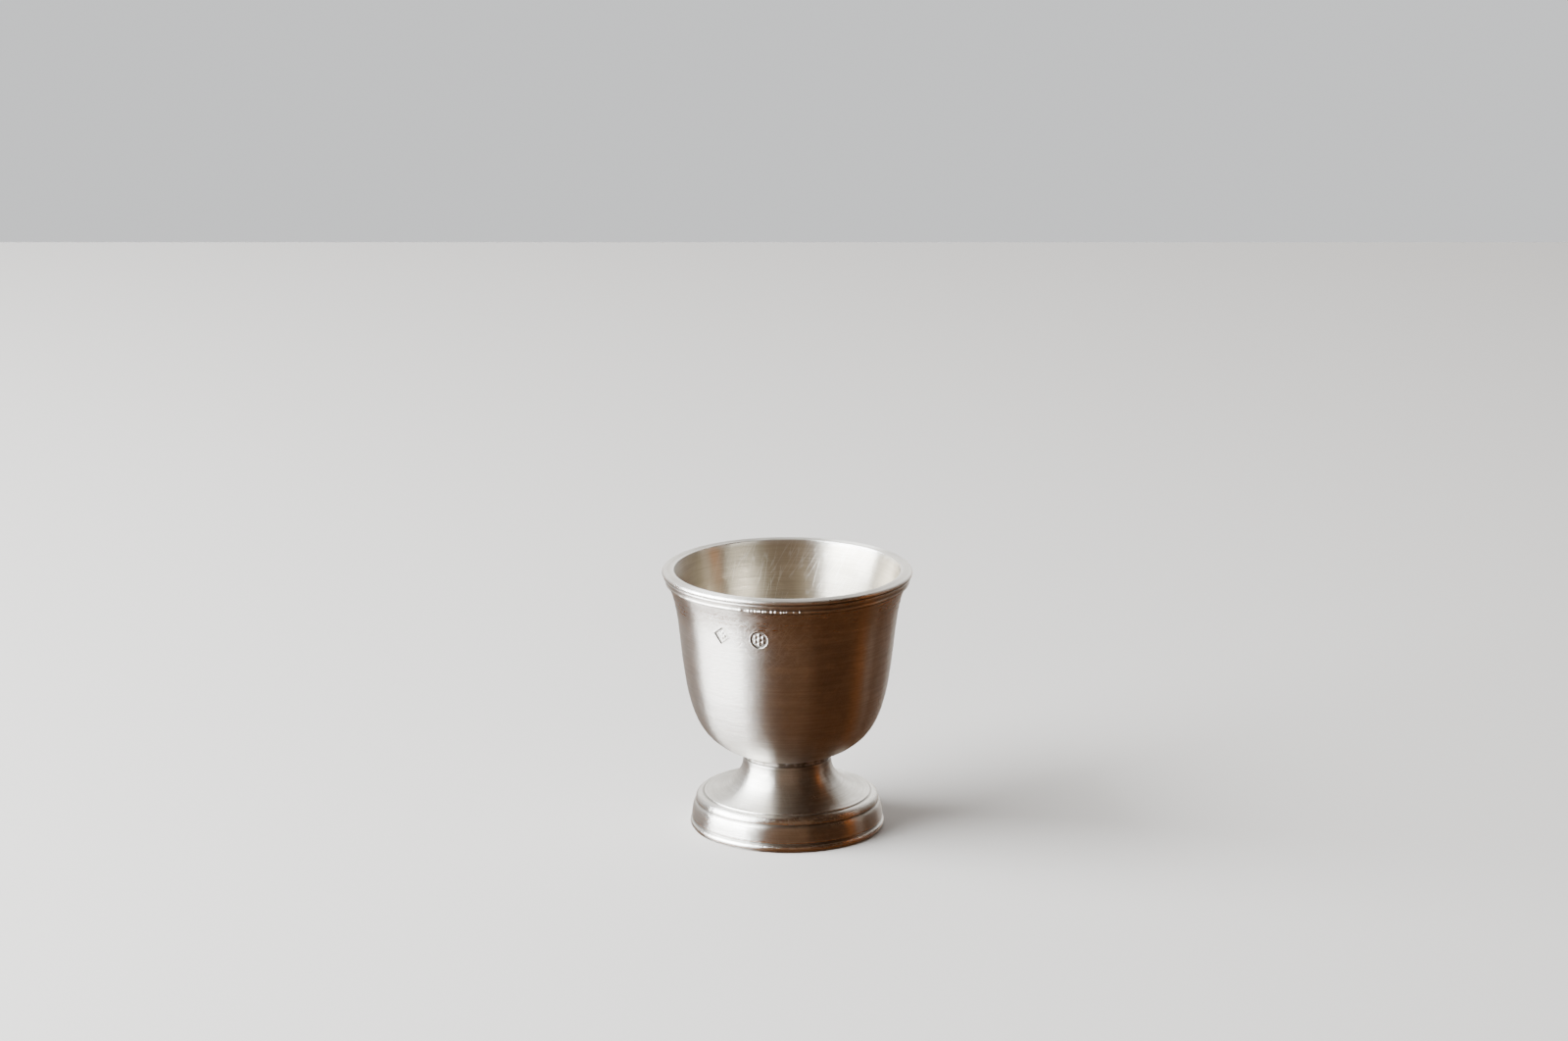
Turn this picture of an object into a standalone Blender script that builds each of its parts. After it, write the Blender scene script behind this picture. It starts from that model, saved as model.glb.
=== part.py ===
"""Pewter egg cup: a cast and turned bowl, soft-soldered to a cast, hollow foot.

Metres, +Z up. The origin is the centre of the ring that the foot stands on, and the two struck
marks are on the -Y side. Outlines are (radius, height) pairs in millimetres, turned about Z.
"""

import math

import bmesh
import bpy
from mathutils import Matrix, Vector

MM = 0.001
FACETS = 64  # round each turned piece
WELD = 1e-7  # metres, joins the two ends of the turning
SMOOTH_BELOW = 35  # degrees between two faces that shade as one surface

# Overall sizes, millimetres.
HEIGHT = 53.3
LIP_RADIUS = 25.0
MOUTH_RADIUS = 22.6
FOOT_RADIUS = 19.55
FOOT_HEIGHT = 14.3
WALL = 2.0

# Lip: a flat top with rounded edges, a V groove, a tapering band and a bead.
LIP_ROUND = 0.6
MOUTH_ROUND = 0.25
LIP_GROOVE_DEPTH = 0.42
LIP_GROOVE_Z = HEIGHT - 0.95
LIP_BAND_TOP = (LIP_RADIUS - 0.22, HEIGHT - 1.2)
LIP_BAND_FOOT = (LIP_RADIUS - 0.68, HEIGHT - 2.0)
LIP_BEAD_CENTRE = (LIP_RADIUS - 0.95, HEIGHT - 2.38)
LIP_BEAD_RADIUS = 0.34

# Bowl outside: nearly flat at the joint, turning up to the waist, then flaring to the lip.
JOINT_RADIUS = 8.7
BOWL_SEAT_Z = 15.2
BELLY = ((18.66, 21.46), (16.1, 17.7))
WAIST = (20.26, 30.0)
FLARE = ((21.6, 45.2), (21.8, 39.5))
FLARE_TOP = (23.6, 50.0)

# Bowl inside.
FLOOR_Z = 17.4
FLOOR = ((12.2, FLOOR_Z), (17.0, 23.0))
INNER_WAIST = (WAIST[0] - WALL, WAIST[1] + 0.4)
INNER_FLARE = ((19.6, 38.8), (20.3, 46.4))

# Spigot under the bowl, the socket in the foot that takes it, and the solder between them.
SPIGOT_RADIUS = 5.0
SPIGOT_END_Z = 11.7
SPIGOT_CHAMFER = 0.4
SOCKET_RADIUS = 5.6
SOCKET_END_Z = 11.3
SOLDER_GAP = 0.1  # left between the solder and each piece that it joins
SOLDER_RIM = JOINT_RADIUS - 0.15
SOLDER_HOLLOW = 0.15  # how far the seam's edge is drawn in at mid height

# Foot: a flare, a quarter round below its edge, a deep band, a groove and a bead.
NECK_EDGE = 0.15
NECK = ((8.95, 10.5), (12.2, 7.6))
FLARE_EDGE = (16.65, 7.2)
QUARTER_CENTRE = (17.15, 5.65)
QUARTER_RADIUS = 1.3
BAND_TOP = (18.38, 5.45)
BAND = ((18.8, 5.0), (19.05, 4.2))
BAND_FOOT = (19.25, 2.0)
FOOT_GROOVE_Z = 1.75
FOOT_GROOVE_DEPTH = 0.22
BEAD_CENTRE_Z = 0.85
BEAD_RADIUS = 0.7

# Underside: the ring it stands on, and the hollow above.
STAND_OUTER = 19.1
STAND_INNER = 17.0
STAND_CHAMFER = 0.4
HOLLOW_WALL = (16.2, 3.6)
HOLLOW_EDGE = (14.6, 5.15)
HOLLOW = ((11.0, 5.6), (7.6, 7.9))
HOLLOW_TOP = (7.0, 10.8)
SOCKET_LIP = 6.5

# Struck marks: plain recesses, placed by the angle from the front. The wall leans out there.
MARK_DEPTH = 0.22
MARK_Z = 44.5
MARK_SURFACE_RADIUS = 22.07  # of the bowl's outside at MARK_Z
MARK_LEAN = 9
LOZENGE_ANGLE = -35.5
LOZENGE_RADIUS = 1.8
LOZENGE_CORNERS = 4
ROUND_ANGLE = -14.5
ROUND_RADIUS = 1.7
ROUND_CORNERS = 20


def bezier(start, handles, end, steps):
    """Points along a cubic Bezier curve, both ends included."""
    points = []
    for i in range(steps + 1):
        t = i / steps
        s = 1 - t
        weights = (s**3, 3 * s * s * t, 3 * s * t * t, t**3)
        corners = (start, *handles, end)
        points.append(tuple(sum(w * p[axis] for w, p in zip(weights, corners)) for axis in (0, 1)))
    return points


def arc(centre, radius, start, end, steps):
    """Points on a circle from one angle to another, in degrees anticlockwise from outwards."""
    points = []
    for i in range(steps + 1):
        angle = math.radians(start + (end - start) * i / steps)
        points.append((centre[0] + radius * math.cos(angle), centre[1] + radius * math.sin(angle)))
    return points


def bowl_outline():
    """From the middle of the floor, up the inside, over the lip, and down to the spigot's end."""
    mouth_centre = (MOUTH_RADIUS + MOUTH_ROUND, HEIGHT - MOUTH_ROUND)
    lip_centre = (LIP_RADIUS - LIP_ROUND, HEIGHT - LIP_ROUND)
    mouth = (MOUTH_RADIUS, mouth_centre[1])
    groove = LIP_RADIUS - LIP_GROOVE_DEPTH
    return [
        *bezier((0, FLOOR_Z), FLOOR, INNER_WAIST, 9)[:-1],
        *bezier(INNER_WAIST, INNER_FLARE, mouth, 6)[:-1],
        *arc(mouth_centre, MOUTH_ROUND, 180, 90, 2),
        *arc(lip_centre, LIP_ROUND, 90, 0, 4),
        (groove, LIP_GROOVE_Z + 0.05),
        (groove, LIP_GROOVE_Z - 0.05),
        LIP_BAND_TOP,
        LIP_BAND_FOOT,
        *arc(LIP_BEAD_CENTRE, LIP_BEAD_RADIUS, 35, -75, 4),
        *bezier(FLARE_TOP, FLARE, WAIST, 8)[:-1],
        *bezier(WAIST, BELLY, (JOINT_RADIUS, BOWL_SEAT_Z), 10),
        (SPIGOT_RADIUS, BOWL_SEAT_Z),
        (SPIGOT_RADIUS, SPIGOT_END_Z + SPIGOT_CHAMFER),
        (SPIGOT_RADIUS - SPIGOT_CHAMFER, SPIGOT_END_Z),
        (0, SPIGOT_END_Z),
    ]


def foot_outline():
    """From the top of the neck, down the outside, across the base, and up the hollow."""
    neck_start = (JOINT_RADIUS + NECK_EDGE, FOOT_HEIGHT - NECK_EDGE)
    groove = BAND_FOOT[0] - FOOT_GROOVE_DEPTH
    bead_centre = (FOOT_RADIUS - BEAD_RADIUS, BEAD_CENTRE_Z)
    return [
        (JOINT_RADIUS, FOOT_HEIGHT),
        *bezier(neck_start, NECK, FLARE_EDGE, 9),
        *arc(QUARTER_CENTRE, QUARTER_RADIUS, 96, 0, 6),
        *bezier(BAND_TOP, BAND, BAND_FOOT, 6),
        (groove, FOOT_GROOVE_Z + 0.07),
        (groove, FOOT_GROOVE_Z - 0.07),
        *arc(bead_centre, BEAD_RADIUS, 70, -60, 6),
        (STAND_OUTER, 0),
        (STAND_INNER, 0),
        (STAND_INNER - STAND_CHAMFER, STAND_CHAMFER),
        HOLLOW_WALL,
        *bezier(HOLLOW_EDGE, HOLLOW, HOLLOW_TOP, 6),
        (SOCKET_LIP, SOCKET_END_Z),
        (SOCKET_RADIUS, SOCKET_END_Z),
        (SOCKET_RADIUS, FOOT_HEIGHT),
    ]


def solder_outline():
    """A flange between the bowl and the neck, and a sleeve down the socket."""
    inner = SPIGOT_RADIUS + SOLDER_GAP
    outer = SOCKET_RADIUS - SOLDER_GAP
    top = BOWL_SEAT_Z - SOLDER_GAP
    bottom = FOOT_HEIGHT + SOLDER_GAP
    return [
        (inner, top),
        (SOLDER_RIM, top),
        (SOLDER_RIM - SOLDER_HOLLOW, (top + bottom) / 2),
        (SOLDER_RIM, bottom),
        (outer, bottom),
        (outer, SOCKET_END_Z + SPIGOT_CHAMFER),
        (inner, SPIGOT_END_Z + SPIGOT_CHAMFER),
    ]


def link(name, bm):
    """Turns a bmesh into an object of the scene."""
    bmesh.ops.recalc_face_normals(bm, faces=bm.faces)
    mesh = bpy.data.meshes.new(name)
    bm.to_mesh(mesh)
    bm.free()
    obj = bpy.data.objects.new(name, mesh)
    bpy.context.scene.collection.objects.link(obj)
    return obj


def turned(name, outline, material):
    """One solid of revolution about Z. An outline that starts on the axis also ends there."""
    bm = bmesh.new()
    verts = [bm.verts.new((radius * MM, 0, z * MM)) for radius, z in outline]
    pairs = list(zip(verts, verts[1:]))
    if outline[0][0] > 0:
        pairs.append((verts[-1], verts[0]))
    edges = [bm.edges.new(pair) for pair in pairs]
    bmesh.ops.spin(
        bm,
        geom=verts + edges,
        axis=(0, 0, 1),
        cent=(0, 0, 0),
        angle=math.tau,
        steps=FACETS,
    )
    bmesh.ops.remove_doubles(bm, verts=bm.verts, dist=WELD)
    obj = link(name, bm)
    obj.data.shade_smooth()
    obj.data.set_sharp_from_angle(angle=math.radians(SMOOTH_BELOW))
    obj.data.materials.append(material)
    return obj


def strike(bowl, name, corners, radius, angle):
    """Cuts one mark into the bowl with a prism that stands square to the wall."""
    bm = bmesh.new()
    ring = []
    for i in range(corners):
        around = math.tau * i / corners
        corner = Vector((radius * math.cos(around), MARK_DEPTH, radius * math.sin(around)))
        ring.append(bm.verts.new(corner * MM))
    extruded = bmesh.ops.extrude_face_region(bm, geom=[bm.faces.new(ring)])
    moved = [item for item in extruded["geom"] if isinstance(item, bmesh.types.BMVert)]
    bmesh.ops.translate(bm, verts=moved, vec=(0, -10 * MARK_DEPTH * MM, 0))
    punch = link(name, bm)
    turn = Matrix.Rotation(math.radians(angle), 4, "Z")
    centre = Matrix.Translation(Vector((0, -MARK_SURFACE_RADIUS, MARK_Z)) * MM)
    punch.matrix_world = turn @ centre @ Matrix.Rotation(math.radians(MARK_LEAN), 4, "X")
    punch.hide_render = True
    punch.display_type = "WIRE"
    cut = bowl.modifiers.new(name, "BOOLEAN")
    cut.operation = "DIFFERENCE"
    cut.solver = "EXACT"
    cut.object = punch


def metal(name, colour, roughness):
    """A metallic Principled material."""
    material = bpy.data.materials.new(name)
    material.use_nodes = True
    shader = material.node_tree.nodes["Principled BSDF"]
    shader.inputs["Base Color"].default_value = (*colour, 1)
    shader.inputs["Metallic"].default_value = 1
    shader.inputs["Roughness"].default_value = roughness
    return material


def main():
    for obj in list(bpy.data.objects):
        bpy.data.objects.remove(obj)
    bowl = turned("bowl", bowl_outline(), metal("pewter_turned", (0.62, 0.60, 0.56), 0.3))
    turned("foot", foot_outline(), metal("pewter_cast", (0.60, 0.58, 0.54), 0.34))
    turned("solder_seam", solder_outline(), metal("solder", (0.42, 0.41, 0.39), 0.5))
    strike(bowl, "lozenge_mark", LOZENGE_CORNERS, LOZENGE_RADIUS, LOZENGE_ANGLE)
    strike(bowl, "round_mark", ROUND_CORNERS, ROUND_RADIUS, ROUND_ANGLE)


main()
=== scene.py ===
"""Pewter egg cup on a plain pale table, in soft studio light.

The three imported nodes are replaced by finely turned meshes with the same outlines: the bowl, with
its struck marks, nicks and dents, the foot, and the line of solder between them.
Outlines are (radius, height) pairs in millimetres, turned about Z.
"""

import math

import bpy
import numpy as np
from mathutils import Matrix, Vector


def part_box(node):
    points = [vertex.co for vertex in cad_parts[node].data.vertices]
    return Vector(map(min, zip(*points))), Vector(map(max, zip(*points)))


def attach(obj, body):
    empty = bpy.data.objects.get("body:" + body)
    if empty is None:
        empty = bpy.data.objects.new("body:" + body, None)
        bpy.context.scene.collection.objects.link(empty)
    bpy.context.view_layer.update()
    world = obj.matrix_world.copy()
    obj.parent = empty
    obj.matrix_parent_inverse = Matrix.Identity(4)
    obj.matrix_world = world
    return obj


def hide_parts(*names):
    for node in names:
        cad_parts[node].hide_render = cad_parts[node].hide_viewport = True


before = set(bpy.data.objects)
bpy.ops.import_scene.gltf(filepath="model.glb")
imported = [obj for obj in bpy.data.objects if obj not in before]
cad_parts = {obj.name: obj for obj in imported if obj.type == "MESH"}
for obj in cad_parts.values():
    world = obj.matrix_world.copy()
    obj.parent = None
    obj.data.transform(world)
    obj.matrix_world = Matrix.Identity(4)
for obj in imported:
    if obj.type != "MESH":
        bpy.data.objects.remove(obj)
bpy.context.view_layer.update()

MM = 0.001
SEED = 7

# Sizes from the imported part, millimetres.
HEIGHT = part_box("bowl")[1].z / MM
LIP_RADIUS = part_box("bowl")[1].x / MM
FOOT_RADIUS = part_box("foot")[1].x / MM
FOOT_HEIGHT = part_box("foot")[1].z / MM
SPIGOT_END_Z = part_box("bowl")[0].z / MM
SOLDER_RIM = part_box("solder_seam")[1].x / MM
SOLDER_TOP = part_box("solder_seam")[1].z / MM
SOLDER_END_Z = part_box("solder_seam")[0].z / MM

MOUTH_RADIUS = 22.6
JOINT_RADIUS = 8.7
BOWL_SEAT_Z = 15.2
SPIGOT_RADIUS = 5.0
SOCKET_RADIUS = 5.6
WAIST = (20.26, 30.0)
FLOOR_Z = 17.4


# ---------------------------------------------------------------- outlines


def bezier(start, handles, end, steps):
    """Points along a cubic Bezier curve, both ends included."""
    t = np.linspace(0, 1, steps + 1)[:, None]
    a, b, c, d = (np.array(p, float) for p in (start, *handles, end))
    curve = (1 - t) ** 3 * a + 3 * (1 - t) ** 2 * t * b + 3 * (1 - t) * t**2 * c + t**3 * d
    return [tuple(p) for p in curve]


def arc(centre, radius, start, end, steps):
    """Points on a circle from one angle to another, in degrees anticlockwise from outwards."""
    angle = np.radians(np.linspace(start, end, steps + 1))
    return [(centre[0] + radius * math.cos(a), centre[1] + radius * math.sin(a)) for a in angle]


def spaced(outline, step):
    """The outline with points added wherever two are further apart than step."""
    points = []
    for a, b in zip(outline, outline[1:]):
        count = max(1, math.ceil(math.dist(a, b) / step))
        for i in range(count):
            points.append(tuple(a[k] + (b[k] - a[k]) * i / count for k in (0, 1)))
    points.append(outline[-1])
    return points


# Corners of the moulding under the lip: millimetres in from its edge and down from its top.
LIP_GROOVE = ((0.06, 0.72), (0.26, 0.83), (0.41, 0.9), (0.41, 1.0), (0.3, 1.08), (0.22, 1.16))
LIP_TAPER = ((0.24, 1.3), (0.42, 1.6), (0.6, 1.88), (0.69, 2.03), (0.68, 2.12))
UNDER_BEAD = ((1.06, 2.76), (1.25, 2.87), (1.33, 3.03))
LIP_BEAD_Z = HEIGHT - 2.38
LIP_BEAD_RADIUS = 0.34
LIP_ROUND = 0.6
MOUTH_ROUND = 0.25


def below_lip(corners):
    """Outline points at these distances in and down from the lip."""
    return [(LIP_RADIUS - inward, HEIGHT - down) for inward, down in corners]


def bowl_outline():
    """From the middle of the floor, up the inside, over the lip, and down to the spigot's end."""
    inner_waist = (WAIST[0] - 2.0, WAIST[1] + 0.4)
    mouth = (MOUTH_RADIUS, HEIGHT - MOUTH_ROUND)
    flare = spaced(bezier((23.6, 50.0), ((21.6, 45.2), (21.8, 39.5)), WAIST, 60), 0.5)
    return [
        *bezier((0, FLOOR_Z), ((12.2, FLOOR_Z), (17.0, 23.0)), inner_waist, 26)[:-1],
        *bezier(inner_waist, ((19.6, 38.8), (20.3, 46.4)), mouth, 26)[:-1],
        *arc((MOUTH_RADIUS + MOUTH_ROUND, HEIGHT - MOUTH_ROUND), MOUTH_ROUND, 180, 90, 5),
        (23.6, HEIGHT),
        *arc((LIP_RADIUS - LIP_ROUND, HEIGHT - LIP_ROUND), LIP_ROUND, 90, 0, 9),
        *below_lip(LIP_GROOVE),
        *below_lip(LIP_TAPER),
        *arc((LIP_RADIUS - 0.95, LIP_BEAD_Z), LIP_BEAD_RADIUS, 30, -75, 8),
        *below_lip(UNDER_BEAD),
        *flare[:-1],
        *bezier(WAIST, ((18.66, 21.46), (16.1, 17.7)), (JOINT_RADIUS, BOWL_SEAT_Z), 40),
        (JOINT_RADIUS - 0.3, BOWL_SEAT_Z),
        (SPIGOT_RADIUS, BOWL_SEAT_Z),
        (SPIGOT_RADIUS, SPIGOT_END_Z + 0.4),
        (SPIGOT_RADIUS - 0.4, SPIGOT_END_Z),
        (0, SPIGOT_END_Z),
    ]


# Stretches of the foot, from the flare down and round to the hollow.
FLARE_EDGE = (16.62, 7.22)
FLARE_CREASE = ((16.7, 7.16), (16.76, 7.04), (16.84, 6.94), (16.98, 6.92))
QUARTER_ROUND = 1.29
QUARTER_ROUND_EDGE = 18.44
QUARTER_ROUND_Z = 5.65
BAND_CREASE = ((18.44, 5.62), (18.4, 5.52), (18.34, 5.44), (18.36, 5.36))
BAND_TOP = (18.43, 5.28)
BAND_BOTTOM = (19.25, 2.04)
FOOT_GROOVE = ((19.22, 1.93), (19.09, 1.84), (19.04, 1.76), (19.08, 1.68))
FOOT_BEAD_RADIUS = 0.7
FOOT_BEAD_Z = 0.85
STANDING_RING = ((19.17, 0.1), (19.1, 0.0), (18.4, 0.0), (17.1, 0.0), (17.0, 0.02))
HOLLOW_WALL = ((16.62, 0.4), (16.2, 3.6), (15.9, 4.3), (15.3, 4.9))
HOLLOW_SHOULDER = (14.6, 5.15)
HOLLOW_NECK = (7.0, 10.8)
HOLLOW_TOP = 11.3


def foot_outline():
    """From the top of the neck, down the outside, across the base, and up the hollow."""
    neck_top = (JOINT_RADIUS + 0.15, FOOT_HEIGHT - 0.2)
    return [
        (JOINT_RADIUS - 0.1, FOOT_HEIGHT),
        (JOINT_RADIUS + 0.02, FOOT_HEIGHT - 0.02),
        (JOINT_RADIUS + 0.12, FOOT_HEIGHT - 0.1),
        *bezier(neck_top, ((8.95, 10.5), (12.2, 7.6)), FLARE_EDGE, 44),
        *FLARE_CREASE,
        *arc((QUARTER_ROUND_EDGE - QUARTER_ROUND, QUARTER_ROUND_Z), QUARTER_ROUND, 92, 4, 14),
        *BAND_CREASE,
        *bezier(BAND_TOP, ((18.84, 4.9), (19.05, 4.2)), BAND_BOTTOM, 14),
        *FOOT_GROOVE,
        *arc((FOOT_RADIUS - FOOT_BEAD_RADIUS, FOOT_BEAD_Z), FOOT_BEAD_RADIUS, 66, -60, 14),
        *STANDING_RING,
        *HOLLOW_WALL,
        *bezier(HOLLOW_SHOULDER, ((11.0, 5.6), (7.6, 7.9)), HOLLOW_NECK, 16),
        (6.8, HOLLOW_TOP - 0.15),
        (6.5, HOLLOW_TOP),
        (SOCKET_RADIUS + 0.1, HOLLOW_TOP),
        (SOCKET_RADIUS, HOLLOW_TOP + 0.1),
        (SOCKET_RADIUS, FOOT_HEIGHT),
    ]


SEAM_INSIDE = 7.0
FILLET_DEPTH = 0.15


def solder_outline():
    """The visible edge is a shallow fillet; a sleeve runs down the socket behind it."""
    bottom = FOOT_HEIGHT + 0.1
    middle = (SOLDER_TOP + bottom) / 2
    half = (SOLDER_TOP - bottom) / 2
    fillet = []
    for i in range(9):
        t = -1 + i / 4
        fillet.append((SOLDER_RIM - FILLET_DEPTH * (1 - t * t) ** 0.5, middle - t * half))
    return [
        (SPIGOT_RADIUS + 0.1, SOLDER_TOP),
        (SEAM_INSIDE, SOLDER_TOP),
        *fillet,
        (SEAM_INSIDE, bottom),
        (SOCKET_RADIUS - 0.1, bottom),
        (SOCKET_RADIUS - 0.1, SOLDER_END_Z),
        (SPIGOT_RADIUS + 0.1, SOLDER_END_Z + 0.4),
    ]


# ---------------------------------------------------------------- turning


CREASE_REACH = 0.14  # mm
SHARPEST_BEND = 1.6  # radians per mm
# the most soil and painted shade put into an inward crease
MOST_CREASE_SOIL_AND_SHADE = 0.6


def crease_weights(outline):
    """Wear where the outline turns sharply outwards, and soil with painted shade where it turns inwards, 0
    to 1.
    """
    p = np.array(outline)
    before, after = np.roll(p, 1, 0), np.roll(p, -1, 0)
    if p[0, 0] == 0:
        before[0], after[-1] = p[0], p[-1]
    a, b = p - before, after - p
    turn = np.arctan2(a[:, 0] * b[:, 1] - a[:, 1] * b[:, 0], (a * b).sum(1))
    length = (np.hypot(*a.T) + np.hypot(*b.T)) / 2 + 1e-6
    along = np.concatenate([[0], np.cumsum(np.hypot(*np.diff(p, axis=0).T))])
    near = np.exp(-((along[:, None] - along[None, :]) ** 2) / (2 * CREASE_REACH**2))
    bend = (near * turn[None, :]).sum(1) / (near * length[None, :]).sum(1)
    return np.clip(-bend / SHARPEST_BEND, 0, 1), MOST_CREASE_SOIL_AND_SHADE * np.clip(bend / SHARPEST_BEND, 0, 1)


def refined(outline, low, high, radius, step):
    """The outline with points added between two heights, outside a radius, for the marks."""
    points = [outline[0]]
    for a, b in zip(outline, outline[1:]):
        fine = min(a[1], b[1]) > low and max(a[1], b[1]) < high and a[0] > radius and b[0] > radius
        count = max(1, math.ceil(math.dist(a, b) / step)) if fine else 1
        for i in range(1, count + 1):
            points.append(tuple(a[k] + (b[k] - a[k]) * i / count for k in (0, 1)))
    return points


def columns(low, high, fine_step, coarse_step):
    """Angles round the piece, in degrees from the front, closer together over one stretch."""
    fine = np.arange(low, high, fine_step)
    coarse = np.linspace(high, low + 360, max(3, round((360 - high + low) / coarse_step)) + 1)[:-1]
    return np.concatenate([fine, coarse])


def lathe_faces(rows, count, poles):
    """Quads round the rows, joined last to first, or closed by fans to two poles stored last."""
    here = np.arange(count)
    after = (here + 1) % count
    faces = []
    for i in range(rows - 1 if poles else rows):
        top, low = i * count, (i + 1) % rows * count
        faces += np.stack([top + here, low + here, low + after, top + after], 1).tolist()
    if poles:
        first, last = rows * count, rows * count + 1
        base = (rows - 1) * count
        faces += [[first, int(i), int(j)] for i, j in zip(here, after)]
        faces += [[base + int(i), last, base + int(j)] for i, j in zip(here, after)]
    return faces


def turned(name, outline, degrees, relief, limit, layers):
    """One lathe mesh. relief(a, r, z) is how far each point moves out of the wall, in millimetres,
    limit(r, z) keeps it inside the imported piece, and layers(a, r, z) gives the point attributes."""
    p = np.array(outline)
    poles = p[0, 0] == 0
    step = np.gradient(p, axis=0)
    normal = np.stack([-step[:, 1], step[:, 0]], 1) / (np.hypot(*step.T)[:, None] + 1e-9)
    angles = np.radians(degrees)
    r, a = np.meshgrid(p[:, 0], angles, indexing="ij")
    z = np.repeat(p[:, 1:], len(angles), 1)
    push = relief(a, r, z)
    r2, z2 = limit(r + push * normal[:, :1], z + push * normal[:, 1:])
    verts = np.stack([r2 * np.sin(a), -r2 * np.cos(a), z2], -1) * MM

    values = {}
    # wear on outward turns; soil and painted shade darken the inward creases
    for key, weights in zip(("wear", "soil"), crease_weights(outline)):
        values[key] = np.repeat(weights[:, None], len(angles), 1)
    for key, extra in layers(a, r, z).items():
        values[key] = np.clip(values.get(key, np.zeros_like(a)) + extra, 0, 1)

    rings = slice(1, -1) if poles else slice(None)
    points = verts[rings].reshape(-1, 3).tolist()
    if poles:
        points += [verts[0, 0].tolist(), verts[-1, 0].tolist()]
    mesh = bpy.data.meshes.new(name)
    mesh.from_pydata(points, [], lathe_faces(*verts[rings].shape[:2], poles))
    for key, value in values.items():
        layer = mesh.attributes.new(key, "FLOAT", "POINT")
        ends = [value[0, 0], value[-1, 0]] if poles else []
        layer.data.foreach_set("value", np.concatenate([value[rings].ravel(), ends]).astype(np.float32))
    mesh.shade_smooth()
    obj = bpy.data.objects.new(name, mesh)
    bpy.context.scene.collection.objects.link(obj)
    return obj


# ---------------------------------------------------------------- marks and damage

RNG = np.random.default_rng(SEED)
BRUSH_SLOPE = 0.8  # share of the radius added to the height, so that level stretches get rings too


def smooth(x, low, high):
    """A soft step from 0 at low to 1 at high."""
    t = np.clip((x - low) / (high - low), 0, 1)
    return t * t * (3 - 2 * t)


def bump(x, width):
    """A bell curve, 1 at 0."""
    return np.exp(-((x / width) ** 2))


def half_turn(a):
    """Angles brought between half a turn left and half a turn right of the front."""
    return (a + math.pi) % math.tau - math.pi


def wobble(a, s, terms, waves, length):
    """A sum of slow ripples round and along a piece, about -1 to 1."""
    total = np.zeros_like(a)
    for _ in range(terms):
        around = RNG.integers(1, waves + 1)
        along = RNG.uniform(0.3, 1) * math.tau / length
        total += np.sin(around * a + along * s + RNG.uniform(0, math.tau)) / terms**0.5
    return total


def ragged(a, terms, low, high):
    """A sum of quick ripples round a piece, about -1 to 1."""
    total = np.zeros_like(a)
    for _ in range(terms):
        total += np.sin(RNG.integers(low, high) * a + RNG.uniform(0, math.tau)) / terms**0.5
    return total


MARK_Z = 44.5
MARK_RADIUS = 22.07
LOZENGE_ANGLE = math.radians(-35.5)
LOZENGE_HALF = 1.8
ROUND_ANGLE = math.radians(-14.5)
ROUND_HALF = 1.7
MARK_DEPTH = 0.21
DOME_HEIGHT = 0.15


def mark_frame(a, z, angle, turn):
    """Millimetres right and up from a mark's centre, turned clockwise by turn."""
    u = half_turn(a - angle) * MARK_RADIUS
    v = z - MARK_Z
    c, s = math.cos(math.radians(turn)), math.sin(math.radians(turn))
    return c * u - s * v, s * u + c * v


def lozenge(a, z):
    """Distance outside the lozenge's edge, and millimetres right and up from its centre."""
    u, v = mark_frame(a, z, LOZENGE_ANGLE, 9)
    return (np.abs(u) + np.abs(v) - LOZENGE_HALF) / math.sqrt(2), u, v


def roundel(a, z):
    """Distance outside the round mark's edge, and millimetres right and up from its centre."""
    u, v = mark_frame(a, z, ROUND_ANGLE, 0)
    return np.hypot(u, v) - ROUND_HALF, u, v


def domes(u, v, count, reach, radius, start=0.0):
    """Height, 0 to 1, of small domes set round a centre."""
    height = np.zeros_like(u)
    for i in range(count):
        angle = start + math.tau * i / count
        gap = np.hypot(u - reach * math.cos(angle), v - reach * math.sin(angle))
        height = np.maximum(height, np.sqrt(np.clip(1 - (gap / radius) ** 2, 0, 1)))
    return height


def struck(a, z):
    """Relief of the two marks in millimetres: plain shapes with small domes, which stand for nothing."""
    relief = np.zeros_like(a)
    for shape, half, ring, middle in (
        (lozenge, LOZENGE_HALF, (4, 0.5, 0.4, 0.0), 0.26),
        (roundel, ROUND_HALF, (6, 0.95, 0.32, 0.5), 0.44),
    ):
        d, u, v = shape(a, z)
        device = np.maximum(domes(u, v, *ring), domes(u, v, 1, 0, middle))
        relief -= MARK_DEPTH * (1 - 0.3 * u / half) * smooth(-d, -0.03, 0.07)
        relief += DOME_HEIGHT * device * smooth(-d, 0.05, 0.14)
        relief += 0.04 * bump(d - 0.1, 0.09)
    return relief


def struck_soil_and_shade(a, z):
    """Painted shade and soil in the marks: heavy against their walls, and light over their floors."""
    soil = np.zeros_like(a)
    for shape in (lozenge, roundel):
        d = shape(a, z)[0]
        # painted shade against each mark's walls, and a lighter mix of soil and painted shade over its
        # floor
        soil += 1.6 * bump(d + 0.1, 0.14) + 0.35 * smooth(-d, 0, 0.1)
    return soil


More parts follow.
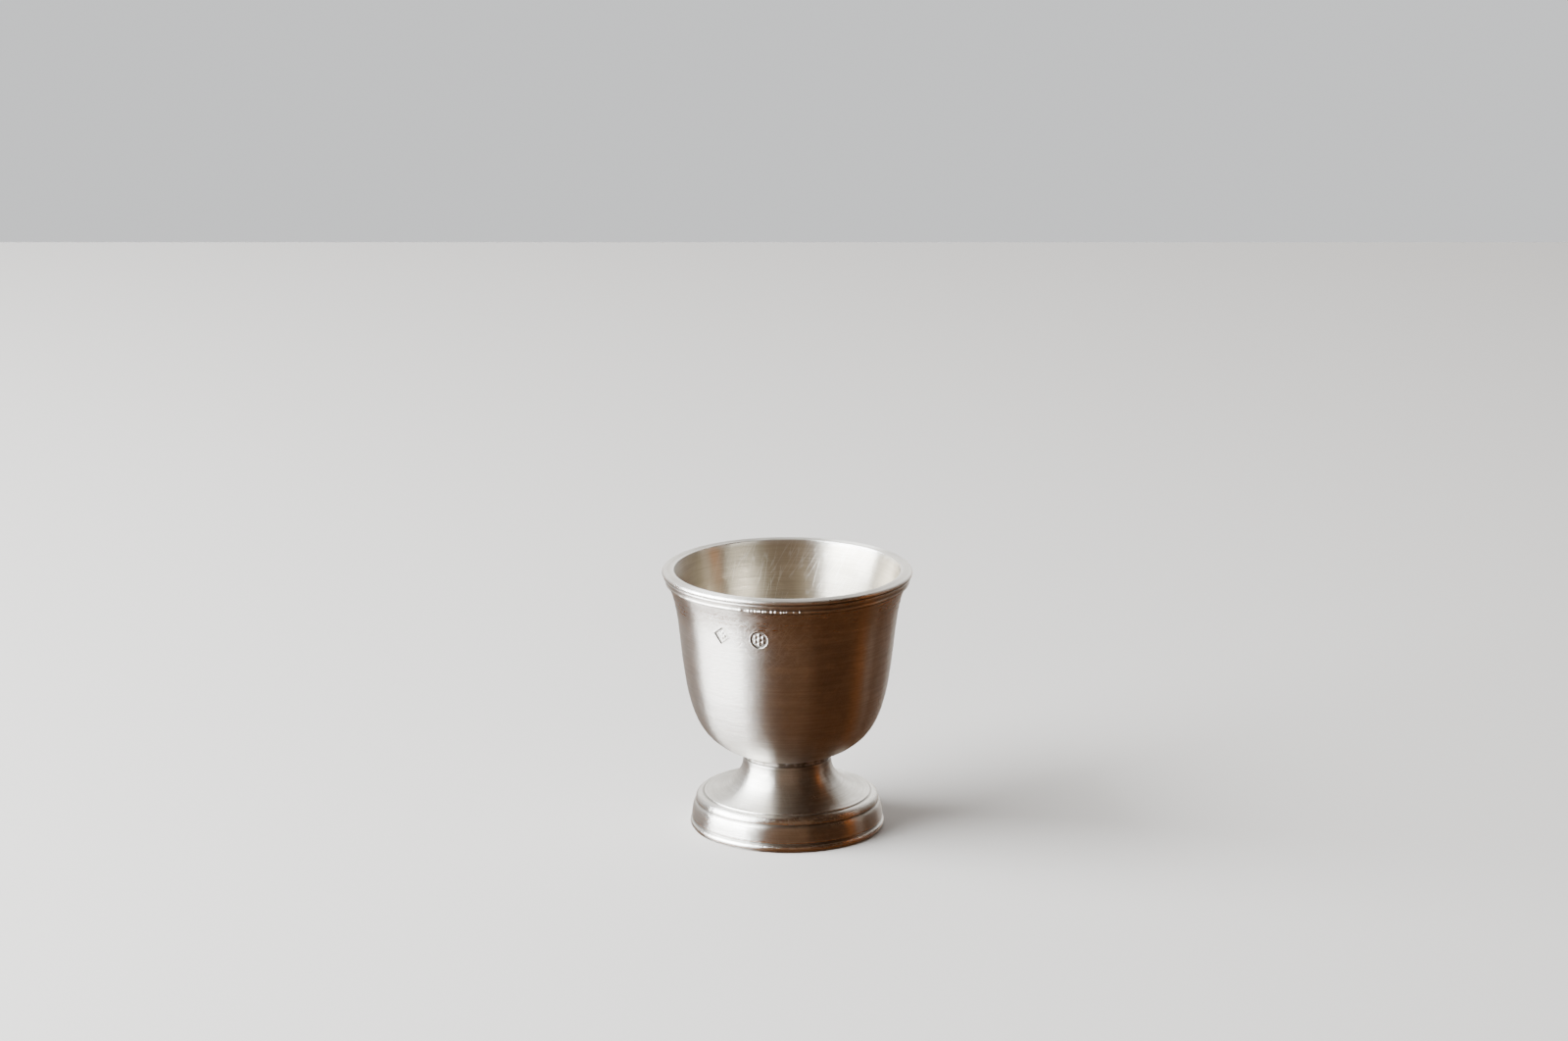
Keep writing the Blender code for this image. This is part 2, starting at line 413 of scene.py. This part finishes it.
# Small dents in the bowl: angle in degrees, height, half sizes round and up, depth.
DENTS = (
    (-59.5, 28.2, 0.5, 0.9, 0.07),
    (-52.5, 28.0, 0.35, 0.8, 0.06),
    (-48.0, 27.3, 0.4, 0.7, 0.05),
    (-27.0, 37.6, 0.5, 0.3, 0.03),
    (62.0, 33.0, 0.9, 0.6, 0.05),
    (118.0, 41.0, 0.6, 0.9, 0.05),
    (171.0, 26.5, 1.0, 0.6, 0.06),
    (-128.0, 35.5, 0.7, 0.5, 0.05),
)
# Short scores beside the marks: angle, height, length, rise in degrees, depth.
SCORES = (
    (-9.2, 47.1, 3.1, 17, 0.07),
    (-12.0, 46.5, 1.9, 15, 0.04),
    (-4.5, 43.0, 2.2, 62, 0.03),
    (-20.5, 46.9, 2.6, 158, 0.03),
    (-7.0, 45.7, 2.4, 40, 0.035),
    (-25.0, 43.1, 2.0, 50, 0.03),
    (3.0, 44.3, 2.8, 128, 0.03),
)
OUTER_RADIUS = 21.5  # of the bowl's wall, to turn angles into millimetres
RIM_RADIUS = 24.0


def scored(turn, z):
    """Depth of the scores in millimetres, less the burr along one side of each."""
    depth = np.zeros_like(turn)
    for angle, height, length, rise, deep in SCORES:
        u, v = half_turn(turn - math.radians(angle)) * OUTER_RADIUS, z - height
        c, s = math.cos(math.radians(rise)), math.sin(math.radians(rise))
        lengthwise, across = c * u + s * v, c * v - s * u
        taper = np.clip(1 - (2 * lengthwise / length) ** 2, 0, 1)
        depth += deep * taper * bump(across, 0.07) - 0.4 * deep * taper * bump(across + 0.15, 0.07)
    return depth


def nicks(a, count, low, high, deepest, widest):
    """Random bites out of an edge between two angles, in millimetres deep."""
    depth = np.zeros_like(a)
    for _ in range(count):
        where = math.radians(RNG.uniform(low, high))
        wide = RNG.uniform(0.35, 1) * widest
        deep = RNG.uniform(0.3, 1) * deepest
        depth = np.maximum(depth, deep * bump(half_turn(a - where) * RIM_RADIUS, wide))
    return depth


def on_outside(z):
    """Rows after the outline's highest, which is where the bowl's outside starts."""
    return np.arange(len(z))[:, None] > z[:, 0].argmax()


RIPPLE = 0.014  # how far the hand-finished surface strays from a true turning, mm
LIP_EDGE_Z = HEIGHT - 0.45
LIP_GROOVE_Z = HEIGHT - 0.95
WALL_TOP = HEIGHT - 3.2


def bowl_relief(a, r, z):
    """Ripple, marks, scores and dents on the wall, and a nicked bead and lip."""
    turn = half_turn(a)
    shown = z > BOWL_SEAT_Z + 0.1
    outer = on_outside(z) & shown
    push = RIPPLE * wobble(a, z + BRUSH_SLOPE * r, 14, 5, 9.0) * shown
    wall = outer & (z < WALL_TOP)
    push += wall * (struck(turn, z) - scored(turn, z))
    for angle, height, wide, tall, deep in DENTS:
        u = half_turn(a - math.radians(angle)) * OUTER_RADIUS
        push -= wall * deep * bump(u, wide) * bump(z - height, tall)
    near_front = bump(turn + 0.14, 0.3)
    bead = bump(z - LIP_BEAD_Z, 0.24) * outer * (r > 23.7)
    push += 0.03 * bead * ragged(a, 20, 20, 90)
    push += 0.05 * bead * ragged(a, 26, 120, 420) * near_front
    push -= bead * nicks(a, 26, -23, 9, 0.16, 0.4)
    push -= bead * nicks(a, 24, 10, 335, 0.07, 1.3)
    lip = bump(z - LIP_EDGE_Z, 0.35) * outer * (r > 24.3)
    push -= lip * nicks(a, 30, 0, 360, 0.035, 1.4)
    return push


# Patches of crossed scratches on the bowl's outside: strength, angle in radians and its reach,
# height and its reach. Everywhere else there are a few.
SCRATCHED = (
    (1.0, -0.36, 0.5, 47.5, 4.5),
    (0.4, -0.1, 0.25, 40.0, 5.0),
    (0.7, 2.1, 0.4, 34.0, 7.0),
    (0.6, -2.2, 0.5, 40.0, 6.0),
)
FEW = 0.2
SLEEK_INSIDE = 0.2


def bowl_layers(a, r, z):
    """Soil and painted shade in the marks and the lip's groove, scratched places, and the smoother
    finishes.
    """
    turn = half_turn(a)
    outer = on_outside(z)
    wall = outer & (z < WALL_TOP + 0.2)
    hatched = np.full_like(a, FEW)
    for strength, angle, reach, height, tall in SCRATCHED:
        hatched += strength * bump(turn - angle, reach) * bump(z - height, tall)
    rubbed = bump(half_turn(a - math.pi), 0.62) * bump(z - 46, 8.0) + FEW
    # painted shade along the lip's groove
    groove = 0.8 * outer * (r > 24.3) * bump(z - LIP_GROOVE_Z, 0.13)
    return {
        "soil": wall * struck_soil_and_shade(turn, z) + groove,
        "hatched": wall * hatched,
        "rubbed": ~outer * rubbed,
        "inner": ~outer * smooth(HEIGHT - z, 0.1, 1.0),
        "sleek": wall * smooth(z, 42.5, 47.5) + SLEEK_INSIDE * ~outer,
    }


def above_base(z):
    """Rows before the outline's lowest, which are the foot's outside."""
    return np.arange(len(z))[:, None] < z[:, 0].argmin()


BEAD_SHOULDER_Z = 1.35
QUARTER_ROUND_LIP_Z = 5.9


def foot_relief(a, r, z):
    """Ripple on the outside, and nicks in the bead and in the edge of the quarter round."""
    outer = above_base(z)
    push = RIPPLE * wobble(a, z - BRUSH_SLOPE * r, 12, 5, 8.0)
    bead = bump(z - BEAD_SHOULDER_Z, 0.32) * (r > 18.9)
    edge = bump(z - QUARTER_ROUND_LIP_Z, 0.45) * (r > 18.0)
    push += 0.02 * bead * ragged(a, 26, 60, 170)
    push -= 0.01 * edge * ragged(a, 26, 40, 150)
    push -= bead * nicks(a, 40, 0, 360, 0.04, 0.6) + edge * nicks(a, 26, 0, 360, 0.03, 0.6)
    return push * outer


def foot_layers(a, r, z):
    """Painted shade just under the joint, darker uneven patches over the hollow, and light scratches on
    the outside.
    """
    outer = above_base(z)
    # painted shade on the neck's top, under the bowl
    joint = 0.5 * smooth(z, FOOT_HEIGHT - 1.3, FOOT_HEIGHT - 0.3)
    # the hollow made darker, in uneven patches
    hollow = 0.45 + 0.2 * wobble(a, z, 10, 6, 5.0)
    return {"soil": np.where(outer, joint, hollow), "hatched": outer * 0.22, "rubbed": outer * 0.25}


def seam_relief(a, r, z):
    """The uneven run of the solder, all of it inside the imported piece."""
    return 0.02 * wobble(a, z, 12, 24, 2.0) - 0.02


def no_layers(a, r, z):
    """The solder's look needs none."""
    return {}


def inside(radius, low, high):
    """A limit that keeps a piece within its packed size."""
    return lambda r, z: (np.clip(r, 0, radius), np.clip(z, low, high))


# ---------------------------------------------------------------- materials


class Nodes:
    """Small helper that adds shader nodes and links them."""

    def __init__(self, name):
        self.material = bpy.data.materials.new(name)
        self.material.use_nodes = True
        self.tree = self.material.node_tree
        self.shader = self.tree.nodes["Principled BSDF"]

    def put(self, node, socket, value):
        """Links the value if it is a socket, or sets it."""
        if isinstance(value, bpy.types.NodeSocket):
            self.tree.links.new(value, node.inputs[socket])
        else:
            node.inputs[socket].default_value = value

    def math(self, operation, a, b=0.0, c=0.0, clamp=False):
        node = self.tree.nodes.new("ShaderNodeMath")
        node.operation = operation
        node.use_clamp = clamp
        for i, value in enumerate((a, b, c)):
            self.put(node, i, value)
        return node.outputs[0]

    def ramp(self, value, low, high, out_low=0.0, out_high=1.0):
        """A soft step from out_low to out_high as the value goes from low to high."""
        node = self.tree.nodes.new("ShaderNodeMapRange")
        node.interpolation_type = "SMOOTHSTEP"
        for socket, number in enumerate((value, low, high, out_low, out_high)):
            self.put(node, socket, number)
        return node.outputs[0]

    def vector(self, x, y, z):
        node = self.tree.nodes.new("ShaderNodeCombineXYZ")
        for i, value in enumerate((x, y, z)):
            self.put(node, i, value)
        return node.outputs[0]

    def noise(self, vector, detail=2.0, roughness=0.55):
        node = self.tree.nodes.new("ShaderNodeTexNoise")
        self.put(node, "Vector", vector)
        self.put(node, "Scale", 1.0)
        self.put(node, "Detail", detail)
        self.put(node, "Roughness", roughness)
        return node.outputs["Fac"]

    def mix(self, factor, a, b):
        """From colour a at 0 to colour b at 1."""
        node = self.tree.nodes.new("ShaderNodeMix")
        node.data_type = "RGBA"
        self.put(node, 0, factor)
        self.put(node, 6, a)
        self.put(node, 7, b)
        return node.outputs[2]

    def tinted(self, factor, colour, tint):
        """The colour multiplied by a tint, as far as the factor says."""
        colour = self.mix(factor, colour, tint)
        colour.node.blend_type = "MULTIPLY"
        return colour

    def attribute(self, name):
        """A point value stored on the mesh, or 0 where the mesh has none of that name."""
        node = self.tree.nodes.new("ShaderNodeAttribute")
        node.attribute_name = name
        return node.outputs["Fac"]

    def add(self, *values):
        total = values[0]
        for value in values[1:]:
            total = self.math("ADD", total, value)
        return total

    def times(self, *values):
        total = values[0]
        for value in values[1:]:
            total = self.math("MULTIPLY", total, value)
        return total

    def hairlines(self, around, along, turn, length, gap, width, start):
        """Scratches at an angle: the walls between long drawn-out cells, broken up by noise.
        length, gap and width are in millimetres; start is the noise level they start at."""
        c, s = math.cos(math.radians(turn)), math.sin(math.radians(turn))
        lengthwise = self.add(self.times(around, c / length), self.times(along, s / length))
        across = self.add(self.times(along, c / gap), self.times(around, -s / gap))
        cells = self.tree.nodes.new("ShaderNodeTexVoronoi")
        cells.voronoi_dimensions = "2D"
        cells.feature = "DISTANCE_TO_EDGE"
        self.put(cells, "Vector", self.vector(lengthwise, across, 0.0))
        self.put(cells, "Scale", 1.0)
        line = self.ramp(cells.outputs["Distance"], 0.0, width / gap, 1.0, 0.0)
        place = self.vector(self.times(lengthwise, 1.6), self.times(across, 0.7), turn * 0.37)
        pieces = self.noise(place, 1.0)
        return self.times(line, self.ramp(pieces, start, start + 0.1))

    def raise_by(self, height, distance):
        """Shades the surface as if it were raised by height times distance."""
        relief = self.tree.nodes.new("ShaderNodeBump")
        self.put(relief, "Strength", 1.0)
        self.put(relief, "Distance", distance)
        self.put(relief, "Height", height)
        self.put(self.shader, "Normal", relief.outputs[0])


BRIGHT_METAL = (0.84, 0.82, 0.78, 1)
INNER_TINT = (0.97, 0.925, 0.84, 1)
SCRATCH = (0.82, 0.805, 0.77, 1)
WORN_EDGE = (0.8, 0.785, 0.75, 1)
# dark colour for soil and for painted shade
SOIL_AND_SHADE_COLOUR = (0.085, 0.07, 0.055, 1)
PEWTER = (0.68, 0.66, 0.62)
BUMP_DISTANCE = 0.05 * MM
SPREAD = 20.0  # millimetres per radian round the cup, about its radius

# Hairline scratches: turn in degrees, length, gap and width in millimetres, and the noise level
# that they start at.
CROSSED = ((36, 5.0, 0.42, 0.065, 0.44), (-48, 4.5, 0.5, 0.065, 0.47), (67, 7.0, 0.7, 0.07, 0.47))
STEEP = ((66, 12.0, 0.8, 0.075, 0.46), (79, 14.0, 1.1, 0.075, 0.48))


class Surface(Nodes):
    """The patterns on brushed pewter. slope is the share of the radius added to the height."""

    def __init__(self, name, slope):
        """Finds the place on the cup, in millimetres, and then makes the patterns."""
        super().__init__(name)
        coordinates = self.tree.nodes.new("ShaderNodeTexCoord")
        split = self.tree.nodes.new("ShaderNodeSeparateXYZ")
        self.tree.links.new(coordinates.outputs["Object"], split.inputs[0])
        self.x, self.y, self.z = (self.times(split.outputs[i], 1 / MM) for i in range(3))
        radius = self.math("SQRT", self.add(self.times(self.x, self.x), self.times(self.y, self.y)))
        safe = self.math("MAXIMUM", radius, 0.01)
        self.east, self.north = self.math("DIVIDE", self.x, safe), self.math("DIVIDE", self.y, safe)
        self.along = self.math("MULTIPLY_ADD", radius, slope, self.z)

        self.hair = self.rings(3.5, 6.0, 2.0)
        self.lines = self.rings(1.6, 2.4, 3.0)
        self.jag = self.rings(14.0, 2.6, 1.0)
        self.bands = self.rings(0.8, 0.35, 2.0)
        self.blotches = self.cloud(0.16)
        self.grain = self.cloud(5.0, 2.0)
        few = self.ramp(self.cloud(0.12, 1.0), 0.4, 0.7)
        self.pits = self.times(self.ramp(self.grain, 0.6, 0.78), few)

        self.scratches = self.scratched()
        self.wear, self.inner = self.attribute("wear"), self.attribute("inner")
        # soil and painted shade from the mesh, broken up along the brushing
        broken = self.ramp(self.lines, 0.25, 0.6, 0.5, 1.0)
        self.soiled_and_shaded = self.math("MULTIPLY", self.attribute("soil"), broken, clamp=True)

    def rings(self, around, fineness, detail=2.0):
        """Noise drawn out round the axis: around is per radian, fineness per millimetre."""
        east, north = self.times(self.east, around), self.times(self.north, around)
        return self.noise(self.vector(east, north, self.times(self.along, fineness)), detail)

    def cloud(self, fineness, detail=3.0):
        """Noise with no direction, fineness per millimetre."""
        place = (self.times(axis, fineness) for axis in (self.x, self.y, self.z))
        return self.noise(self.vector(*place), detail)

    def strongest(self, around, table):
        """The strongest of several sets of hairlines."""
        sets = [self.hairlines(around, self.along, *row) for row in table]
        most = sets[0]
        for lines in sets[1:]:
            most = self.math("MAXIMUM", most, lines)
        return most

    def scratched(self):
        """Crossed scratches where the mesh is hatched, and steep ones where it is rubbed."""
        front = self.times(self.math("ARCTAN2", self.x, self.times(self.y, -1.0)), SPREAD)
        back = self.times(self.math("ARCTAN2", self.x, self.y), SPREAD)
        crossed = self.times(self.strongest(front, CROSSED), self.attribute("hatched"))
        steep = self.times(self.strongest(back, STEEP), self.attribute("rubbed"))
        return self.math("ADD", crossed, steep, clamp=True)

    def base_colour(self, metal):
        """The metal's colour, tarnished in bands and lines, bright where worn, and dark with soil and
        painted shade.
        """

        def shade(factor, tint=(1.0, 1.0, 1.0)):
            return (*(c * factor * t for c, t in zip(metal, tint)), 1)

        clean, tarnished = shade(1.0), shade(0.8, (1.0, 0.985, 0.94))
        base = self.mix(self.ramp(self.blotches, 0.35, 0.68, 0.0, 0.8), clean, tarnished)
        base = self.mix(self.ramp(self.bands, 0.4, 0.65, 0.0, 0.35), base, shade(0.9))
        base = self.mix(self.ramp(self.lines, 0.38, 0.62, 0.0, 0.42), base, shade(0.66, (1.0, 0.98, 0.94)))
        base = self.mix(self.ramp(self.hair, 0.36, 0.62, 0.0, 0.3), base, shade(0.7))
        base = self.mix(self.times(self.inner, 0.1), base, BRIGHT_METAL)
        base = self.tinted(self.inner, base, INNER_TINT)
        base = self.mix(self.times(self.scratches, 0.65), base, SCRATCH)
        base = self.mix(self.times(self.wear, 0.7), base, WORN_EDGE)
        base = self.mix(self.times(self.pits, 0.35), base, shade(0.45))
        # painted shade and soil darken the creases, the mark walls, the lip's groove and the neck under
        # the bowl
        return self.mix(self.times(self.soiled_and_shaded, 0.66), base, SOIL_AND_SHADE_COLOUR)

    def roughness(self, level):
        """Uneven along the brushing, smoother where worn or sleek, and rougher under the soil and painted
        shade.
        """
        rough = self.math("MULTIPLY_ADD", self.math("SUBTRACT", self.lines, 0.5), 0.22, level)
        rough = self.math("MULTIPLY_ADD", self.math("SUBTRACT", self.blotches, 0.5), 0.16, rough)
        rough = self.math("MULTIPLY_ADD", self.wear, -0.08, rough)
        rough = self.math("MULTIPLY_ADD", self.attribute("sleek"), -0.085, rough)
        rough = self.math("MULTIPLY_ADD", self.soiled_and_shaded, 0.3, rough)
        return self.math("MULTIPLY_ADD", self.scratches, 0.05, rough, clamp=True)

    def height(self):
        """Brushed grooves and grain, with scratches and pits sunk into them."""
        height = self.add(self.times(self.lines, 0.7), self.times(self.hair, 0.22))
        height = self.add(height, self.times(self.jag, 0.5))
        graininess = self.math("MULTIPLY_ADD", self.wear, 0.8, 0.1)
        height = self.math("MULTIPLY_ADD", self.grain, graininess, height)
        height = self.math("MULTIPLY_ADD", self.scratches, -0.15, height)
        return self.math("MULTIPLY_ADD", self.pits, -0.12, height)


def pewter(name, slope, metal, level):
    """Satin pewter, brushed round the axis."""
    n = Surface(name, slope)
    n.put(n.shader, "Base Color", n.base_colour(metal))
    n.put(n.shader, "Roughness", n.roughness(level))
    n.raise_by(n.height(), BUMP_DISTANCE)
    tangent = n.tree.nodes.new("ShaderNodeTangent")
    tangent.direction_type = "RADIAL"
    tangent.axis = "Z"
    n.put(n.shader, "Tangent", tangent.outputs[0])
    n.put(n.shader, "Metallic", 1.0)
    n.put(n.shader, "Anisotropic", 0.97)
    n.put(n.shader, "Anisotropic Rotation", 0.25)
    return n.material


SOLDER_BUMP = 0.06 * MM


def solder_material():
    """Dull grey solder with a grainy surface."""
    n = Nodes("soft_solder")
    coordinates = n.tree.nodes.new("ShaderNodeTexCoord")
    grain = n.tree.nodes.new("ShaderNodeTexNoise")
    n.tree.links.new(coordinates.outputs["Object"], grain.inputs["Vector"])
    n.put(grain, "Scale", 900.0)
    n.put(grain, "Detail", 3.0)
    fac = grain.outputs["Fac"]
    dark, light = (0.2, 0.18, 0.155, 1), (0.5, 0.48, 0.45, 1)
    n.put(n.shader, "Base Color", n.mix(n.ramp(fac, 0.35, 0.65), dark, light))
    n.put(n.shader, "Roughness", n.ramp(fac, 0.3, 0.7, 0.36, 0.6))
    n.raise_by(fac, SOLDER_BUMP)
    n.put(n.shader, "Metallic", 1.0)
    return n.material


# ---------------------------------------------------------------- the cup


MARKED_ROWS = (42.2, 48.2)  # heights between which the bowl has finer rows
MARKED_TURN = (-42, 12)  # degrees between which it has finer columns
BOWL_ROUGHNESS = 0.37
FOOT_ROUGHNESS = 0.32


def build_cup():
    """The three pieces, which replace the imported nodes."""
    marked = refined(bowl_outline(), *MARKED_ROWS, radius=21.0, step=0.1)
    round_bowl = columns(*MARKED_TURN, fine_step=0.22, coarse_step=1.9)
    round_foot = columns(-180, 0, fine_step=1.0, coarse_step=1.0)
    round_seam = columns(-180, 0, fine_step=2.0, coarse_step=2.0)
    in_bowl = inside(LIP_RADIUS, SPIGOT_END_Z, HEIGHT)
    in_foot = inside(FOOT_RADIUS, 0, FOOT_HEIGHT)
    in_seam = inside(SOLDER_RIM, SOLDER_END_Z, SOLDER_TOP)
    bowl = turned("bowl_turned", marked, round_bowl, bowl_relief, in_bowl, bowl_layers)
    foot = turned("foot_turned", foot_outline(), round_foot, foot_relief, in_foot, foot_layers)
    seam = turned("solder_line", solder_outline(), round_seam, seam_relief, in_seam, no_layers)
    bowl.data.materials.append(pewter("pewter_bowl", BRUSH_SLOPE, PEWTER, BOWL_ROUGHNESS))
    foot.data.materials.append(pewter("pewter_foot", -BRUSH_SLOPE, PEWTER, FOOT_ROUGHNESS))
    seam.data.materials.append(solder_material())
    for piece, node, slot in (
        (bowl, "bowl", "pewter_turned"),
        (foot, "foot", "pewter_cast"),
        (seam, "solder_seam", "solder"),
    ):
        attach(piece, "root")
        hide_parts(node)


# ---------------------------------------------------------------- studio


def plain(name, colour, roughness=0.7):
    """A smooth material of one colour with a weak shine."""
    material = bpy.data.materials.new(name)
    material.use_nodes = True
    shader = material.node_tree.nodes["Principled BSDF"]
    shader.inputs["Base Color"].default_value = (*colour, 1)
    shader.inputs["Roughness"].default_value = roughness
    shader.inputs["Specular IOR Level"].default_value = 0.2
    return material


def glowing(name, colour, strength):
    """A material that gives light of one colour."""
    material = bpy.data.materials.new(name)
    material.use_nodes = True
    tree = material.node_tree
    tree.nodes.remove(tree.nodes["Principled BSDF"])
    glow = tree.nodes.new("ShaderNodeEmission")
    glow.inputs["Color"].default_value = (*colour, 1)
    glow.inputs["Strength"].default_value = strength
    tree.links.new(glow.outputs[0], tree.nodes["Material Output"].inputs["Surface"])
    return material


def stage(name, points, faces, material, camera=True, glossy=True, diffuse=True, shadow=True):
    """Part of the surroundings, with the kinds of ray that meet it."""
    mesh = bpy.data.meshes.new(name)
    mesh.from_pydata(points, [], faces)
    mesh.materials.append(material)
    obj = bpy.data.objects.new(name, mesh)
    bpy.context.scene.collection.objects.link(obj)
    obj.visible_camera = camera
    obj.visible_glossy = glossy
    obj.visible_diffuse = diffuse
    obj.visible_shadow = shadow


CUP_MIDDLE = Vector((0, 0, 0.03))


def direction(azimuth, elevation):
    """A unit vector: azimuth in degrees from the camera's side, positive to its right."""
    a, e = math.radians(azimuth), math.radians(elevation)
    return Vector((math.sin(a) * math.cos(e), -math.cos(a) * math.cos(e), math.sin(e)))


def card(name, azimuth, elevation, distance, width, height, material):
    """A rectangle facing the cup, seen only in its reflections."""
    centre = direction(azimuth, elevation) * distance + CUP_MIDDLE
    turn = (-direction(azimuth, elevation)).to_track_quat("Z", "Y").to_matrix()
    square = ((-1, -1), (1, -1), (1, 1), (-1, 1))
    corners = [centre + turn @ Vector((u * width / 2, v * height / 2, 0)) for u, v in square]
    stage(name, corners, [(0, 1, 2, 3)], material, camera=False, diffuse=False, shadow=False)


def area(name, azimuth, elevation, distance, width, height, power, colour=(1, 1, 1), glossy=True):
    """A rectangular light facing the cup."""
    light = bpy.data.lights.new(name, "AREA")
    light.shape = "RECTANGLE"
    light.size = width
    light.size_y = height
    light.energy = power
    light.color = colour
    obj = bpy.data.objects.new(name, light)
    obj.location = direction(azimuth, elevation) * distance + CUP_MIDDLE
    obj.rotation_euler = direction(azimuth, elevation).to_track_quat("Z", "Y").to_euler()
    obj.visible_glossy = glossy
    bpy.context.scene.collection.objects.link(obj)


TABLE_HALF = 0.633
WALL_RADIUS = 2.6
WALL_SIDES = 96
WALL_HEIGHTS = (-1.5, 2.5)
GROUND_Z = -0.0004
GROUND_SCALE = 3  # how many times wider than the table

# Cards that stand for the things round the real table: object, material, azimuth, elevation,
# distance, width, height, colour and strength. Angles are in degrees and lengths in metres.
CARDS = (
    ("room", "dim_room", -8, 17, 1.0, 1.3, 0.55, (0.37, 0.225, 0.14), 1.0),
    ("ceiling", "pale_ceiling", 180, 86, 1.2, 0.7, 0.3, (1.0, 0.98, 0.95), 1.7),
    ("back_wall", "sunlit_wall", 180, 20, 1.5, 1.5, 1.0, (1.0, 0.98, 0.94), 2.2),
    ("side_wall", "white_wall", -128, 32, 1.2, 0.75, 0.7, (0.97, 0.98, 1.0), 1.7),
    ("sideboard", "brown_wood", 122, 5, 1.3, 0.8, 0.45, (0.07, 0.035, 0.016), 1.0),
    ("warm_door", "orange_glow", 85, 20, 1.2, 0.11, 0.42, (1.0, 0.27, 0.03), 2.1),
    ("far_window", "warm_glow", 99, 19, 1.2, 0.05, 0.36, (1.0, 0.92, 0.82), 4.5),
)


def build_wall():
    """A pale wall all round, which only the camera sees."""
    ring = []
    for height in WALL_HEIGHTS:
        for i in range(WALL_SIDES):
            angle = math.tau * i / WALL_SIDES
            ring.append((WALL_RADIUS * math.cos(angle), WALL_RADIUS * math.sin(angle), height))
    sides = []
    for i in range(WALL_SIDES):
        j = (i + 1) % WALL_SIDES
        sides.append((j, i, i + WALL_SIDES, j + WALL_SIDES))
    glow = glowing("pale_wall", (0.8, 0.81, 0.82), 1.1)
    stage("wall", ring, sides, glow, glossy=False, diffuse=False, shadow=False)


def build_floor():
    """The pale table, and a varnished brown one just below it, which only reflections see."""
    half = TABLE_HALF
    square = [(-half, -half, 0), (half, -half, 0), (half, half, 0), (-half, half, 0)]
    stage("floor", square, [(0, 1, 2, 3)], plain("pale_floor", (0.47, 0.45, 0.43)), glossy=False)
    wide = [(x * GROUND_SCALE, y * GROUND_SCALE, GROUND_Z) for x, y, _ in square]
    varnish = plain("varnished_ground", (0.85, 0.40, 0.17), 0.34)
    varnish.node_tree.nodes["Principled BSDF"].inputs["Specular IOR Level"].default_value = 0.6
    stage("ground_reflection", wide, [(0, 1, 2, 3)], varnish, camera=False, diffuse=False, shadow=False)


def build_lights():
    """A window to the left, a soft fill overhead, and the cards."""
    area("window", -77, 26, 1.0, 1.08, 1.0, 105, (0.93, 0.97, 1.0))
    area("top_fill", 0, 89, 1.3, 1.8, 1.8, 11, glossy=False)
    for name, look, azimuth, elevation, distance, width, height, colour, strength in CARDS:
        card(name, azimuth, elevation, distance, width, height, glowing(look, colour, strength))


def build_world():
    """A dark warm surround that grows pale behind the cup."""
    world = bpy.data.worlds.new("studio")
    world.use_nodes = True
    bpy.context.scene.world = world
    tree = world.node_tree
    background = tree.nodes["Background"]
    coordinates = tree.nodes.new("ShaderNodeTexCoord")
    split = tree.nodes.new("ShaderNodeSeparateXYZ")
    tree.links.new(coordinates.outputs["Generated"], split.inputs[0])
    ramp = tree.nodes.new("ShaderNodeValToRGB")
    ramp.color_ramp.elements[0].position = 0.3
    ramp.color_ramp.elements[0].color = (0.06, 0.034, 0.02, 1)
    ramp.color_ramp.elements[1].position = 0.92
    ramp.color_ramp.elements[1].color = (1.4, 1.38, 1.34, 1)
    middle = ramp.color_ramp.elements.new(0.67)
    middle.color = (0.12, 0.07, 0.042, 1)
    scaled = tree.nodes.new("ShaderNodeMath")
    scaled.operation = "MULTIPLY_ADD"
    scaled.inputs[1].default_value = 0.5
    scaled.inputs[2].default_value = 0.5
    tree.links.new(split.outputs["Y"], scaled.inputs[0])
    tree.links.new(scaled.outputs[0], ramp.inputs[0])
    tree.links.new(ramp.outputs[0], background.inputs[0])


LENS = 96.5
SENSOR_WIDTH = 36.0
CAMERA_PLACE = (-0.00065, -0.8092, 0.2718)
CAMERA_TILT = 75.54  # degrees up from straight down


def build_camera():
    """The photograph's view: a long lens 0.85 m from the cup, looking 14.5 degrees down."""
    data = bpy.data.cameras.new("camera")
    data.lens = LENS
    data.sensor_width = SENSOR_WIDTH
    obj = bpy.data.objects.new("camera", data)
    obj.location = CAMERA_PLACE
    obj.rotation_euler = (math.radians(CAMERA_TILT), 0, 0)
    bpy.context.scene.collection.objects.link(obj)
    bpy.context.scene.camera = obj


build_camera()
build_cup()
build_floor()
build_wall()
build_lights()
build_world()
